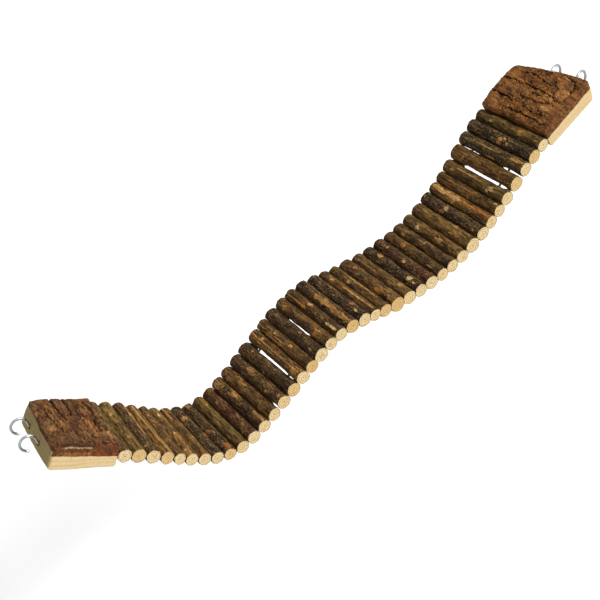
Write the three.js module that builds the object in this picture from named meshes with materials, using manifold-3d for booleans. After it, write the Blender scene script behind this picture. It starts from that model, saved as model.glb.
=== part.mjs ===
// A bendable hanging bridge for a small rodent. Forty natural sticks with their bark on are strung on
// two soft steel wires between two log slabs, and each slab has two screw hooks in its outer end.
// Millimetres, +Z up. +X runs up the bridge and +Y along the sticks, away from the viewer.
// The origin is where the lower hooks rest on a cage bar, midway between the two hooks.
import * as THREE from 'three';
import { mergeVertices, toCreasedNormals } from 'three/addons/utils/BufferGeometryUtils.js';
import Module from 'manifold-3d';

const wasm = await Module();
wasm.setup();

// Sticks
const stickCount = 40;
const stickLength = 70;
const stickDiameter = 10.5; // of the mean stick
const stickGap = 0.7; // left open between two sticks, and between a stick and a board
const sawnEdge = 0.5; // the worn edge round a sawn end

// Wires
const wireDiameter = 2;
const wireSpacing = 42; // from wire to wire, along the sticks
const wireDepth = 14; // how far a wire reaches into a board
const drillClearance = 0.3; // round a wire or a hook shank in its drilled hole

// Boards: log slabs with a flat sawn underside and bark on the crowned top
const lowerBoardLength = 51; // each at its middle
const upperBoardLength = 50.5;
const woodBelowWire = 9; // from the wires down to the flat underside
const slabEdgeHeight = 7.5; // from the wires up to the top at the board's ends
const crownHeight = 3; // how much higher the bark stands in the middle
const crownShoulder = 6; // over which the top rounds off at each end
const shoulderShare = 0.6; // of the crown's height gained there, and the rest along a low arch
const sideShoulder = 4; // over which the bark rounds off at the front and back
const sideDrop = 2.5; // by which it falls there
const outerRounding = 4; // of the lower edge at the outer end
const innerBevel = 1.5; // of the lower edge that meets the sticks
const cornerRounding = 4; // of the outer corners, seen from above
const crackDepth = 2.2; // of the cracks that run across the bark
const crackWidth = 2;

// Hooks: bright wire, screwed into the boards
const hookWireDiameter = 2.2;
const hookEyeDiameter = 11; // clear inside, for the cage bar
const hookSpacing = 24; // from hook to hook, along the sticks
const lowerHookShift = -3.5; // the hooks aren't quite in the middle of the boards
const upperHookShift = -6;
const hookBelowWire = 2.6; // the shanks lie a little lower than the wires
const hookShankDepth = 10; // in the board
const hookNeck = 0.4; // straight between the board and the bend
const hookBend = 0.7; // half the length of the bend from the neck into the eye
const hookEyeDrop = 0.6; // the eye's middle lies this much below the shank
const hookStartTurn = 150; // degrees up from outward, where the neck runs into the eye
const hookTipTurn = -105; // where the tip stops, under the neck

// How the bridge hangs: its slope and its turn sideways in degrees, at equal steps from board to board
const slopes = [-17, -26, -17, 33, 41, 34, 1, 11, 23, 40, 46, 27];
const turns = [0, 6, 9, 10, 16];
const lowerEndTurn = -4; // degrees by which each board's outer end is sawn out of square
const upperEndTurn = 10.5;

// Where sticks have slid apart on the wires: after which stick, how many times as wide as the other
// gaps, and by how many degrees the gap opens towards the back
const slidGaps = [
  { after: 13, widthShare: 1.6, opening: 0.5 },
  { after: 15, widthShare: 2.6, opening: 1.8 },
  { after: 18, widthShare: 1.9, opening: 0.5 },
  { after: 36, widthShare: 3, opening: 0.4 },
  { after: 37, widthShare: 1.9, opening: -0.3 },
];
const openingReach = 4; // how many sticks on each side of such a gap share in its opening

// The thickness of each stick, from the lower board up, as a share of the mean stick's
const stickDiameterShares = [
  0.98, 1.08, 1.08, 1.04, 0.9, 0.98, 0.96, 0.98, 0.96, 1.0,
  1.0, 1.02, 1.02, 1.06, 1.04, 0.98, 0.94, 1.0, 0.92, 0.94,
  1.06, 0.96, 0.86, 0.94, 1.12, 1.0, 0.98, 1.04, 0.92, 0.94,
  1.02, 1.12, 1.04, 0.92, 0.94, 1.04, 1.14, 1.08, 1.04, 1.0,
];

// The cracks in the bark: points along each, as shares of the board's length and width, and of the
// crack's own size
const lowerCrackShares = [
  [[0.61, -0.53, 1], [0.62, -0.2, 0.9], [0.58, -0.02, 0.2]],
  [[0.42, -0.53, 1], [0.42, -0.28, 0.2]],
  [[0.15, -0.08, 0.3], [0.12, 0.08, 0.8], [0.1, 0.25, 0.8], [0.12, 0.39, 0.3]],
];
const upperCrackShares = [
  [[0.55, 0.53, 1], [0.6, 0.4, 1], [0.63, 0.15, 0.8], [0.61, -0.17, 0.8], [0.59, -0.34, 0.2]],
  [[0.3, 0.53, 1], [0.29, 0.37, 1], [0.29, 0.18, 0.6], [0.34, 0.08, 0.2]],
  [[0.1, 0.17, 0.3], [0.12, 0.02, 0.8], [0.12, -0.2, 0.8], [0.1, -0.42, 0.3]],
];

// How uneven a stick is, in shares of its radius or length
const hollowShare = 0.035; // lost on the flatter sides
const taperShare = 0.035; // lost towards the thinner end
const bowShare = 0.05; // how far the middle bends out of line
const shortShare = 0.02; // by which the shortest stick falls short
const stickRingShares = [-0.27, -0.02, 0.24]; // where the stick's outline has its inner rings

const stickSides = 12;
const wireSides = 8;
const drillSides = 8;
const hookSides = 8;
const eyeSteps = 16;
const bendSteps = 3;
const crownSteps = 9;
const sideSteps = 3;
const cornerSteps = 4;

const cutOverrun = 1; // how far a cutting solid reaches past the surface that it cuts
const degree = Math.PI / 180;
const creaseAngle = 40 * degree;

const barkColours = [0x6b5638, 0x4a3726, 0x5a4630, 0x3f3226, 0x70562f];
const zinc = { color: 0xc9ccd0, roughness: 0.25, metalness: 1 };
const steel = { color: 0x8d9094, roughness: 0.4, metalness: 1 };
const slabBark = { color: 0x7a4a2c, roughness: 0.95, metalness: 0 };

// Solids

function solidOf(geometry) {
  const bare = geometry.clone();
  bare.deleteAttribute('normal');
  bare.deleteAttribute('uv');
  const merged = mergeVertices(bare);
  const places = merged.attributes.position.array;
  const corners = [];
  let volume = 0;
  for (let i = 0; i < merged.index.count; i += 3) {
    const [a, b, c] = [0, 1, 2].map((step) => merged.index.getX(i + step));
    if (a === b || b === c || c === a) continue;
    corners.push(a, b, c);
    const [p, q, r] = [a, b, c].map((corner) => new THREE.Vector3().fromArray(places, 3 * corner));
    volume += p.dot(q.cross(r));
  }
  if (volume < 0) corners.reverse();
  const mesh = new wasm.Mesh({
    numProp: 3,
    vertProperties: new Float32Array(places),
    triVerts: new Uint32Array(corners),
  });
  mesh.merge();
  return new wasm.Manifold(mesh);
}

function meshOf(name, solid, finish) {
  const { vertProperties, triVerts } = solid.getMesh();
  const geometry = new THREE.BufferGeometry();
  geometry.setAttribute('position', new THREE.BufferAttribute(new Float32Array(vertProperties), 3));
  geometry.setIndex(new THREE.BufferAttribute(new Uint32Array(triVerts), 1));
  const mesh = new THREE.Mesh(
    toCreasedNormals(geometry, creaseAngle),
    new THREE.MeshStandardMaterial(finish),
  );
  mesh.name = name;
  return mesh;
}

// A route of straight runs, sampled exactly at its corners
class StrungLine extends THREE.Curve {
  constructor(corners) {
    super();
    this.corners = corners;
  }

  getPoint(t, target = new THREE.Vector3()) {
    const place = t * (this.corners.length - 1);
    const run = Math.min(Math.floor(place), this.corners.length - 2);
    return target.lerpVectors(this.corners[run], this.corners[run + 1], place - run);
  }

  getUtoTmapping(u) {
    return u;
  }
}

function roundSection(radius, sides) {
  const points = [];
  for (let i = 0; i < sides; i += 1) {
    const angle = ((i + 0.5) / sides) * 2 * Math.PI;
    points.push(new THREE.Vector2(radius * Math.cos(angle), radius * Math.sin(angle)));
  }
  return new THREE.Shape(points);
}

function tubeAlong(corners, section) {
  const route = new StrungLine(corners);
  return solidOf(new THREE.ExtrudeGeometry(section, { steps: corners.length - 1, extrudePath: route }));
}

// A drilled hole along X, from one x to another, at the height and place across given
function drill(diameter, fromX, toX, y, z) {
  const radius = diameter / 2 / Math.cos(Math.PI / drillSides);
  const geometry = new THREE.CylinderGeometry(radius, radius, toX - fromX, drillSides);
  geometry.rotateY(Math.PI / drillSides);
  geometry.rotateZ(Math.PI / 2);
  geometry.translate((fromX + toX) / 2, y, z);
  return solidOf(geometry);
}

// Sticks

const stickDiameters = Array.from({ length: stickCount }, (unused, index) => (
  stickDiameterShares[index % stickDiameterShares.length] * stickDiameter
));
const wireHoleDiameter = wireDiameter + 2 * drillClearance;

// A steady, repeatable value from -1 to 1 for one trait of one stick
function trait(index, kind) {
  const wave = Math.sin((index + 1) * 12.9898 + kind * 78.233) * 43758.5453;
  return 2 * (wave - Math.floor(wave)) - 1;
}

function stickSolid(index) {
  const radius = stickDiameters[index] / 2;
  const length = stickLength * (1 - (shortShare * (1 + trait(index, 1))) / 2);
  const profile = [
    [0, -length / 2],
    [radius - sawnEdge, -length / 2],
    [radius, -length / 2 + sawnEdge],
    ...stickRingShares.map((share) => [radius, share * length]),
    [radius, length / 2 - sawnEdge],
    [radius - sawnEdge, length / 2],
    [0, length / 2],
  ];
  const outline = profile.map(([across, along]) => new THREE.Vector2(across, along));
  const geometry = new THREE.LatheGeometry(outline, stickSides);

  // A branch isn't a true cylinder: it is flatter on some sides, tapers and bows
  const flatAngle = Math.PI * trait(index, 2);
  const lobes = trait(index, 3) > 0 ? 2 : 3;
  const thinEnd = trait(index, 4);
  const bow = (bowShare * radius * trait(index, 5)) / 2;
  const places = geometry.attributes.position;
  for (let i = 0; i < places.count; i += 1) {
    const place = new THREE.Vector3().fromBufferAttribute(places, i);
    const along = (2 * place.y) / length;
    const angle = Math.atan2(place.z, place.x);
    const hollow = (hollowShare * (1 + Math.sin(lobes * angle + flatAngle + along))) / 2;
    const taper = (taperShare * (1 + thinEnd * along)) / 2;
    const shrink = 1 - hollow - taper;
    places.setXYZ(i, place.x * shrink, place.y, place.z * shrink + bow * (1 - along * along));
  }

  const holes = [-1, 1].map((side) => drill(
    wireHoleDiameter, -radius - cutOverrun, radius + cutOverrun, (side * wireSpacing) / 2, 0,
  ));
  return solidOf(geometry).subtract(holes[0]).subtract(holes[1]);
}

// Boards, with x from the edge that meets the sticks to the outer end, and the wires at height 0.
// A slab is what its side view, its plan and its end view have in common.

const topOfCrown = slabEdgeHeight + crownHeight;

// The height of the bark's crown: a low arch that rounds off at both ends of the board
function crownAt(x, boardLength) {
  const inFromEnd = Math.min(x, boardLength - x);
  const shoulder = Math.min(inFromEnd / crownShoulder, 1);
  const arch = Math.sin((Math.PI * x) / boardLength);
  const rounded = Math.sqrt(1 - (1 - shoulder) ** 2);
  return slabEdgeHeight + crownHeight * (shoulderShare * rounded + (1 - shoulderShare) * arch);
}

function slabSideView(boardLength) {
  const side = new THREE.Shape();
  side.moveTo(innerBevel, -woodBelowWire);
  side.lineTo(boardLength - outerRounding, -woodBelowWire);
  side.absarc(
    boardLength - outerRounding, outerRounding - woodBelowWire, outerRounding, -Math.PI / 2, 0,
  );
  for (let i = 0; i <= crownSteps; i += 1) {
    const x = (boardLength * (1 + Math.cos((Math.PI * i) / crownSteps))) / 2;
    side.lineTo(x, crownAt(x, boardLength));
  }
  side.lineTo(0, innerBevel - woodBelowWire);
  const geometry = new THREE.ExtrudeGeometry(side, {
    depth: stickLength, curveSegments: 3, bevelEnabled: false,
  });
  geometry.rotateX(Math.PI / 2);
  geometry.translate(0, stickLength / 2, 0);
  return geometry;
}

// The outer end lies across the board's length, out of square by its turn
function slabPlan(boardLength, endTurn) {
  const halfWidth = stickLength / 2;
  const endAt = (y) => boardLength - y * Math.tan(endTurn);
  const plan = new THREE.Shape();
  plan.moveTo(0, halfWidth);
  plan.lineTo(0, -halfWidth);
  [-1, 1].forEach((way) => {
    const corner = new THREE.Vector2(endAt(way * halfWidth), way * halfWidth);
    const onSide = new THREE.Vector2(corner.x - cornerRounding, corner.y);
    const onEnd = new THREE.Vector2(endAt(corner.y - way * cornerRounding), corner.y - way * cornerRounding);
    const [from, to] = way < 0 ? [onSide, onEnd] : [onEnd, onSide];
    plan.lineTo(from.x, from.y);
    plan.quadraticCurveTo(corner.x, corner.y, to.x, to.y);
  });
  const geometry = new THREE.ExtrudeGeometry(plan, {
    depth: woodBelowWire + topOfCrown + 2 * cutOverrun, curveSegments: cornerSteps, bevelEnabled: false,
  });
  geometry.translate(0, 0, -woodBelowWire - cutOverrun);
  return geometry;
}

function slabEndView(reach) {
  const halfWidth = stickLength / 2;
  const end = new THREE.Shape();
  end.moveTo(-halfWidth, -woodBelowWire - cutOverrun);
  end.lineTo(halfWidth, -woodBelowWire - cutOverrun);
  const foot = topOfCrown - sideDrop - sideShoulder / 2;
  const bulge = topOfCrown - sideDrop / 2;
  const brow = topOfCrown - sideDrop / 4;
  end.lineTo(halfWidth, foot);
  end.quadraticCurveTo(halfWidth, bulge, halfWidth - sideShoulder, brow);
  end.lineTo(0, topOfCrown);
  end.lineTo(sideShoulder - halfWidth, brow);
  end.quadraticCurveTo(-halfWidth, bulge, -halfWidth, foot);
  const geometry = new THREE.ExtrudeGeometry(end, {
    depth: reach + 2 * cutOverrun, curveSegments: sideSteps, bevelEnabled: false,
  });
  geometry.rotateX(Math.PI / 2);
  geometry.rotateZ(Math.PI / 2);
  geometry.translate(-cutOverrun, 0, 0);
  return geometry;
}

// A crack in the bark: a groove with a V section that is kept upright all along it. Each point of its
// route has its place along and across the board, and the groove's size there.
function crackSolid(routeShares, boardLength) {
  const outline = [
    new THREE.Vector2(0, -crackDepth),
    new THREE.Vector2(-crackWidth / 2, 0),
    new THREE.Vector2(crackWidth / 2, 0),
  ];
  const sides = outline.length;
  const places = [];
  const faces = [];
  routeShares.forEach(([alongShare, acrossShare, sizeShare]) => {
    const x = alongShare * boardLength;
    const top = crownAt(x, boardLength);
    outline.forEach((point, i) => places.push(
      x + sizeShare * point.x, acrossShare * stickLength, top + (i === 0 ? sizeShare * point.y : cutOverrun),
    ));
  });
  const last = (routeShares.length - 1) * sides;
  for (let i = 0; i < last; i += sides) {
    for (let j = 0; j < sides; j += 1) {
      const [a, b] = [i + j, i + ((j + 1) % sides)];
      faces.push(a, b, a + sides, b, b + sides, a + sides);
    }
  }
  faces.push(0, 2, 1, last, last + 1, last + 2);
  const geometry = new THREE.BufferGeometry();
  geometry.setAttribute('position', new THREE.Float32BufferAttribute(places, 3));
  geometry.setIndex(faces);
  return solidOf(geometry);
}

function boardSolid({ length, endTurn, hookShift, cracks }) {
  let board = solidOf(slabSideView(length + stickLength * Math.abs(Math.tan(endTurn)) / 2))
    .intersect(solidOf(slabPlan(length, endTurn)))
    .intersect(solidOf(slabEndView(length + stickLength)));
  cracks.forEach((routeShares) => {
    board = board.subtract(crackSolid(routeShares, length));
  });
  [-1, 1].forEach((way) => {
    const wireHole = drill(
      wireHoleDiameter, -cutOverrun, wireDepth + drillClearance, (way * wireSpacing) / 2, 0,
    );
    const hookHole = drill(
      hookWireDiameter + 2 * drillClearance, -hookShankDepth - drillClearance, outerRounding + cutOverrun,
      hookShift + (way * hookSpacing) / 2, -hookBelowWire,
    );
    board = board.subtract(wireHole);
    board = board.subtract(hookHole.rotate([0, 0, endTurn / degree]).translate([length, 0, 0]));
  });
  return board;
}

// Hooks, with x from the board's outer end along the shank

const eyeRadius = (hookEyeDiameter + hookWireDiameter) / 2; // to the middle of the hook's wire
const eyeStart = hookStartTurn * degree;
const eyeEnd = hookTipTurn * degree;
const eyeRise = eyeRadius * Math.sin(eyeStart) - hookEyeDrop;
const neckRun = eyeRise / Math.tan(eyeStart - Math.PI / 2);
const eyeMiddle = hookNeck + 2 * hookBend + neckRun - eyeRadius * Math.cos(eyeStart);

function hookSolid() {
  const onEye = (angle) => new THREE.Vector3(
    eyeMiddle + eyeRadius * Math.cos(angle), 0, eyeRadius * Math.sin(angle) - hookEyeDrop,
  );
  const neckEnd = new THREE.Vector3(hookNeck, 0, 0);
  const knee = new THREE.Vector3(hookNeck + 2 * hookBend, 0, 0);
  const bend = new THREE.QuadraticBezierCurve3(neckEnd, knee, onEye(eyeStart));
  const corners = [new THREE.Vector3(-hookShankDepth, 0, 0), ...bend.getPoints(bendSteps)];
  for (let i = 1; i <= eyeSteps; i += 1) {
    corners.push(onEye(eyeStart + ((eyeEnd - eyeStart) * i) / eyeSteps));
  }
  return tubeAlong(corners, roundSection(hookWireDiameter / 2, hookSides));
}

// The hanging shape: where each piece of the chain sits, from the lower board to the upper one

// A gap that opens towards the back leaves the sticks on both sides of it a little out of square
function skewOf(stick) {
  return slidGaps.reduce((skew, { after, opening }) => {
    const away = stick - after - 0.5;
    return skew - (Math.sign(away) * opening * Math.max(0, 1 - Math.abs(away) / openingReach)) / 2;
  }, 0);
}

function restChain() {
  const along = (values) => new THREE.SplineCurve(values.map((value, i) => new THREE.Vector2(i, value)));
  const slopeCurve = along(slopes);
  const turnCurve = along(turns);
  const halves = [0, ...stickDiameters.map((diameter) => diameter / 2), 0];
  const gapAfter = (i) => stickGap * (slidGaps.find(({ after }) => after === i)?.widthShare ?? 1);
  const pieces = [];
  const joints = [];
  const place = new THREE.Vector3();
  halves.forEach((half, i) => {
    const share = i / (halves.length - 1);
    const attitude = new THREE.Quaternion().setFromEuler(new THREE.Euler(
      0, -slopeCurve.getPoint(share).y * degree, turnCurve.getPoint(share).y * degree, 'ZYX',
    ));
    const forward = new THREE.Vector3(1, 0, 0).applyQuaternion(attitude);
    if (i > 0) place.addScaledVector(forward, gapAfter(i - 1) / 2 + half);
    pieces.push({ attitude, place: place.clone() });
    if (i === halves.length - 1) return;
    place.addScaledVector(forward, half + gapAfter(i) / 2);
    joints.push(place.clone());
  });
  return { pieces, joints };
}

// A wire runs straight through each stick and bends in the gaps between them
function wireSolid(chain, y) {
  const { pieces, joints } = chain;
  const corners = joints.map((joint, i) => {
    const before = new THREE.Vector3(0, y, 0).applyQuaternion(pieces[i].attitude);
    const after = new THREE.Vector3(0, y, 0).applyQuaternion(pieces[i + 1].attitude);
    return joint.clone().add(before.add(after).divideScalar(2));
  });
  const ends = [[pieces[0], -1], [pieces[pieces.length - 1], 1]].map(([piece, way]) => (
    new THREE.Vector3(way * wireDepth, y, 0).applyQuaternion(piece.attitude).add(piece.place)
  ));
  return tubeAlong([ends[0], ...corners, ends[1]], roundSection(wireDiameter / 2, wireSides));
}

// Assembly

const chain = restChain();
const lowerPiece = chain.pieces[0];
const upperPiece = chain.pieces[chain.pieces.length - 1];
const halfTurn = new THREE.Quaternion().setFromAxisAngle(new THREE.Vector3(0, 0, 1), Math.PI);

const lowerBoard = {
  name: 'lower_board',
  hooks: ['lower_front_hook', 'lower_back_hook'],
  length: lowerBoardLength,
  endTurn: lowerEndTurn * degree,
  hookShift: lowerHookShift,
  cracks: lowerCrackShares,
};
const upperBoard = {
  name: 'upper_board',
  hooks: ['upper_back_hook', 'upper_front_hook'],
  length: upperBoardLength,
  endTurn: upperEndTurn * degree,
  hookShift: upperHookShift,
  cracks: upperCrackShares,
};

function boardGroup(piece, board, outwardTurn) {
  const slab = new THREE.Group();
  slab.quaternion.copy(piece.attitude).multiply(outwardTurn);
  slab.position.copy(piece.place);
  slab.add(meshOf(board.name, boardSolid(board), slabBark));
  const end = new THREE.Group();
  end.position.x = board.length;
  end.rotation.z = board.endTurn;
  board.hooks.forEach((name, i) => {
    const hook = meshOf(name, hookSolid(), zinc);
    hook.position.set(0, board.hookShift + ((i === 0 ? 1 : -1) * hookSpacing) / 2, -hookBelowWire);
    end.add(hook);
  });
  slab.add(end);
  return slab;
}

const hanging = new THREE.Group();
const lowerSlab = boardGroup(lowerPiece, lowerBoard, halfTurn);
hanging.add(lowerSlab);
hanging.add(boardGroup(upperPiece, upperBoard, new THREE.Quaternion()));

chain.pieces.slice(1, -1).forEach((piece, index) => {
  const name = `stick_${String(index + 1).padStart(2, '0')}`;
  const color = barkColours[(index * 3) % barkColours.length];
  const stick = meshOf(name, stickSolid(index), { color, roughness: 0.9, metalness: 0 });
  stick.quaternion.copy(piece.attitude);
  stick.rotateZ(skewOf(index + 1) * degree);
  stick.position.copy(piece.place);
  hanging.add(stick);
});

hanging.add(meshOf('front_wire', wireSolid(chain, -wireSpacing / 2), steel));
hanging.add(meshOf('back_wire', wireSolid(chain, wireSpacing / 2), steel));

// The lower hooks' eyes hang on the bar by the top of their inner side, midway between the hooks
hanging.updateMatrixWorld(true);
const lowerEnd = lowerSlab.children[1];
const barSeat = new THREE.Vector3(eyeMiddle, lowerHookShift, -hookBelowWire - hookEyeDrop);
barSeat.applyMatrix4(lowerEnd.matrixWorld);
barSeat.z += hookEyeDiameter / 2;
hanging.position.copy(barSeat).negate();

const bridge = new THREE.Group();
bridge.add(hanging);

export default bridge;
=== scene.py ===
"""Looks of the hanging bridge of natural sticks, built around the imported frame."""

import math

import bpy
import numpy as np
from mathutils import Matrix, Vector


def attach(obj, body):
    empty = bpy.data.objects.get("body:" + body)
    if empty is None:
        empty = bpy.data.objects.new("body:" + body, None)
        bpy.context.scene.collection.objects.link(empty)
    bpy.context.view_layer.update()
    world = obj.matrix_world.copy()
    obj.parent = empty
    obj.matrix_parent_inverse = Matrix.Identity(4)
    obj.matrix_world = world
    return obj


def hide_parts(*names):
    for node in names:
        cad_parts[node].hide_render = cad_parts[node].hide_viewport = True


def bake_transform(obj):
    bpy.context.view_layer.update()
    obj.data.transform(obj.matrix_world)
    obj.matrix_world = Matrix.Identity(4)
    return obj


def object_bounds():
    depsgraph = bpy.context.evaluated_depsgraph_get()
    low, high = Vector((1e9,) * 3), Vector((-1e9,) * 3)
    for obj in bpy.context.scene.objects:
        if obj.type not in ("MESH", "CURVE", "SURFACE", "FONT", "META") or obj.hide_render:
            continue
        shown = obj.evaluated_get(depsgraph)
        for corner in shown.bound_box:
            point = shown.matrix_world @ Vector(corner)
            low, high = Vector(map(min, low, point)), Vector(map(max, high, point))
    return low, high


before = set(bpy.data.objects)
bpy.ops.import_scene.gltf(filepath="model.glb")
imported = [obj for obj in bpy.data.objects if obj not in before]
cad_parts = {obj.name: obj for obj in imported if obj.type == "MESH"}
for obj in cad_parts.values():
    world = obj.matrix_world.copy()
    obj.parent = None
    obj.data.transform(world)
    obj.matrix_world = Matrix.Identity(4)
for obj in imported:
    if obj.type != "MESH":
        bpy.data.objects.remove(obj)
cad_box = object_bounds()
MM = 0.001

# The chain of sticks, in millimetres and degrees, as the part's source has it
STICKS = 40
STICK_LENGTH, STICK_DIAMETER, STICK_GAP = 70.0, 10.5, 0.7
HALF_LENGTH = STICK_LENGTH / 2  # also half the boards' width
# The bridge's slope and its turn sideways, at equal steps from the lower board up
SLOPES = [-17, -26, -17, 33, 41, 34, 1, 11, 23, 40, 46, 27]
TURNS = [0, 6, 9, 10, 16]
# Wide gaps, by the stick before each: times the usual gap, and degrees by which it opens to the back
SLID_GAPS = {13: (1.6, 0.5), 15: (2.6, 1.8), 18: (1.9, 0.5), 36: (3.0, 0.4), 37: (1.9, -0.3)}
OPENING_REACH = 4  # sticks on each side of such a gap that share in its opening
DIAMETER_SHARES = [
    0.98, 1.08, 1.08, 1.04, 0.9, 0.98, 0.96, 0.98, 0.96, 1.0,
    1.0, 1.02, 1.02, 1.06, 1.04, 0.98, 0.94, 1.0, 0.92, 0.94,
    1.06, 0.96, 0.86, 0.94, 1.12, 1.0, 0.98, 1.04, 0.92, 0.94,
    1.02, 1.12, 1.04, 0.92, 0.94, 1.04, 1.14, 1.08, 1.04, 1.0,
]
DIAMETERS = [share * STICK_DIAMETER for share in DIAMETER_SHARES]
# Each board's place in the chain, which way it points along it, and its sizes
BOARDS = {
    "lower_board": dict(
        piece=0, way=-1, body="lower_end", length=51.0, end_turn=math.radians(-4), hook_shift=-3.5,
    ),
    "upper_board": dict(
        piece=STICKS + 1, way=1, body="upper_end", length=50.5, end_turn=math.radians(10.5), hook_shift=-6.0,
    ),
}
WIRE_SIDE, WIRE_DEPTH, WIRE_RADIUS = 21.0, 14.0, 0.985  # from the middle of the bridge, and into a board
HOOK_SPACING, HOOK_BELOW, HOOK_DROP = 24.0, 2.6, 0.6
HOOK_WIRE, HOOK_EYE, HOOK_NECK, HOOK_BEND, HOOK_DEPTH = 2.2, 11.0, 0.4, 0.7, 10.0
EYE_RADIUS = (HOOK_EYE + HOOK_WIRE) / 2
EYE_START, EYE_END = math.radians(150), math.radians(-105)
NECK_RUN = (EYE_RADIUS * math.sin(EYE_START) - HOOK_DROP) / math.tan(EYE_START - math.pi / 2)
EYE_MIDDLE = HOOK_NECK + 2 * HOOK_BEND + NECK_RUN - EYE_RADIUS * math.cos(EYE_START)


def spline(values, share):
    """The uniform Catmull-Rom curve through values at equal steps."""
    n = len(values)
    p = (n - 1) * share
    i = min(int(p), n - 1)
    w = p - i
    a, b = values[max(i - 1, 0)], values[i]
    c, d = values[min(i + 1, n - 1)], values[min(i + 2, n - 1)]
    v0, v1 = (c - a) / 2, (d - b) / 2
    return (2 * b - 2 * c + v0 + v1) * w**3 + (3 * c - 3 * b - 2 * v0 - v1) * w**2 + v0 * w + b


def turned(degrees):
    """The attitude turned sideways by an angle."""
    c, s = math.cos(math.radians(degrees)), math.sin(math.radians(degrees))
    return np.array([[c, -s, 0], [s, c, 0], [0, 0, 1]])


def leaned(slope):
    """The attitude leaned up by a slope in degrees."""
    c, s = math.cos(math.radians(slope)), math.sin(math.radians(slope))
    return np.array([[c, 0, -s], [0, 1, 0], [s, 0, c]])


def skew_of(stick):
    """The degrees by which the wide gaps near a stick turn it."""
    skew = 0.0
    for after, (_, opening) in SLID_GAPS.items():
        away = stick - after - 0.5
        skew -= math.copysign(1, away) * opening * max(0, 1 - abs(away) / OPENING_REACH) / 2
    return skew


def rest_chain():
    """Each piece's place and attitude along the hanging bridge, and the middles of the gaps, in mm."""
    halves = [0.0] + [d / 2 for d in DIAMETERS] + [0.0]
    gaps = [STICK_GAP * SLID_GAPS.get(i, (1, 0))[0] for i in range(len(halves))]
    place, pieces, joints = np.zeros(3), [], []
    for i, half in enumerate(halves):
        share = i / (len(halves) - 1)
        attitude = turned(spline(TURNS, share)) @ leaned(spline(SLOPES, share))
        if i:
            place = place + attitude[:, 0] * (gaps[i - 1] / 2 + half)
        pieces.append((place, attitude))
        if i < len(halves) - 1:
            place = place + attitude[:, 0] * (half + gaps[i] / 2)
            joints.append(place)
    lower, board = pieces[0][1] @ turned(180), BOARDS["lower_board"]
    end = lower @ turned(math.degrees(board["end_turn"]))
    seat = pieces[0][0] + lower @ [board["length"], 0, 0]
    seat = seat + end @ [EYE_MIDDLE, board["hook_shift"], -HOOK_BELOW - HOOK_DROP]
    seat[2] += HOOK_EYE / 2
    return [(p - seat, m) for p, m in pieces], [j - seat for j in joints]


PIECES, JOINTS = rest_chain()


def board_frame(board):
    """The place of a board's inner edge, and its attitude with x along the board to its outer end."""
    place, attitude = PIECES[board["piece"]]
    return place, attitude @ turned(0 if board["way"] > 0 else 180)


# Noise, the same on every run

def mixed(cells, seed):
    """A repeatable random whole number for each cell of a grid."""
    n = seed * 3266489917
    for axis, factor in zip(range(cells.shape[1]), (374761393, 668265263, 2246822519)):
        n = n + cells[:, axis] * factor
    n = n & 0xFFFFFFFF
    n = ((n ^ (n >> 15)) * 2246822519) & 0xFFFFFFFF
    n = ((n ^ (n >> 13)) * 3266489917) & 0xFFFFFFFF
    return n ^ (n >> 16)


def noise(points, seed=0):
    """Smooth gradient noise, about -1 to 1, at rows of x, y, z."""
    cell = np.floor(points).astype(np.int64)
    part = points - cell
    fade = part * part * part * (part * (part * 6 - 15) + 10)
    total = np.zeros(len(points))
    for corner in range(8):
        shift = np.array([corner & 1, corner >> 1 & 1, corner >> 2 & 1])
        n = mixed(cell + shift, seed)
        slope = np.stack([n & 1023, n >> 10 & 1023, n >> 20 & 1023], 1) / 511.5 - 1
        weight = np.prod(np.where(shift, fade, 1 - fade), 1)
        total += weight * ((part - shift) * slope).sum(1)
    return 1.5 * total


def plates(points, seed=0):
    """Cracked plates at rows of x, y: the distance to the nearest crack, and two random shares a plate."""
    cell = np.floor(points).astype(np.int64)
    near, second = np.full(len(points), 9.0), np.full(len(points), 9.0)
    mark = np.zeros(len(points), np.int64)
    for dx in (-1, 0, 1):
        for dy in (-1, 0, 1):
            site = cell + [dx, dy]
            n = mixed(site, seed)
            away = points - site - np.stack([0.1 + (n & 1023) / 1279, 0.1 + (n >> 10 & 1023) / 1279], 1)
            far = np.hypot(away[:, 0], away[:, 1])
            closer = far < near
            second = np.where(closer, near, np.minimum(second, far))
            mark = np.where(closer, n, mark)
            near = np.minimum(near, far)
    return second - near, (mark & 1023) / 1023, (mark >> 7 & 1023) / 1023


def layers(points, count, seed=0, gain=0.5):
    """Several sizes of noise on top of each other."""
    return sum(gain**i * noise(points * 2.03**i + 7.7 * i, seed + i) for i in range(count))


def step(low, high, value):
    """Smoothly 0 to 1 from low to high, which may be the other way round."""
    t = np.clip((value - low) / (high - low), 0, 1)
    return t * t * (3 - 2 * t)


def bell(value, width):
    """1 where the value is 0, and less the further it is from it."""
    return np.exp(-((value / width) ** 2))


def toward(colours, goal, share):
    """Colours moved to a goal by a share each."""
    return colours + (np.asarray(goal) - colours) * share[..., None]


# Meshes, made in millimetres

def placed(name, data):
    """A new object in the scene."""
    made = bpy.data.objects.new(name, data)
    bpy.context.scene.collection.objects.link(made)
    return made


def new_piece(name, points, faces, material, body, node):
    """A smooth piece that stands for one node or more. It rides on body, if one is given."""
    mesh = bpy.data.meshes.new(name)
    mesh.from_pydata((np.asarray(points) * MM).tolist(), [], faces)
    mesh.polygons.foreach_set("use_smooth", [True] * len(mesh.polygons))
    mesh.materials.append(material)
    piece = placed(name, mesh)
    if body:
        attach(piece, body)
    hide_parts(*([node] if isinstance(node, str) else node))
    return piece


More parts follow.
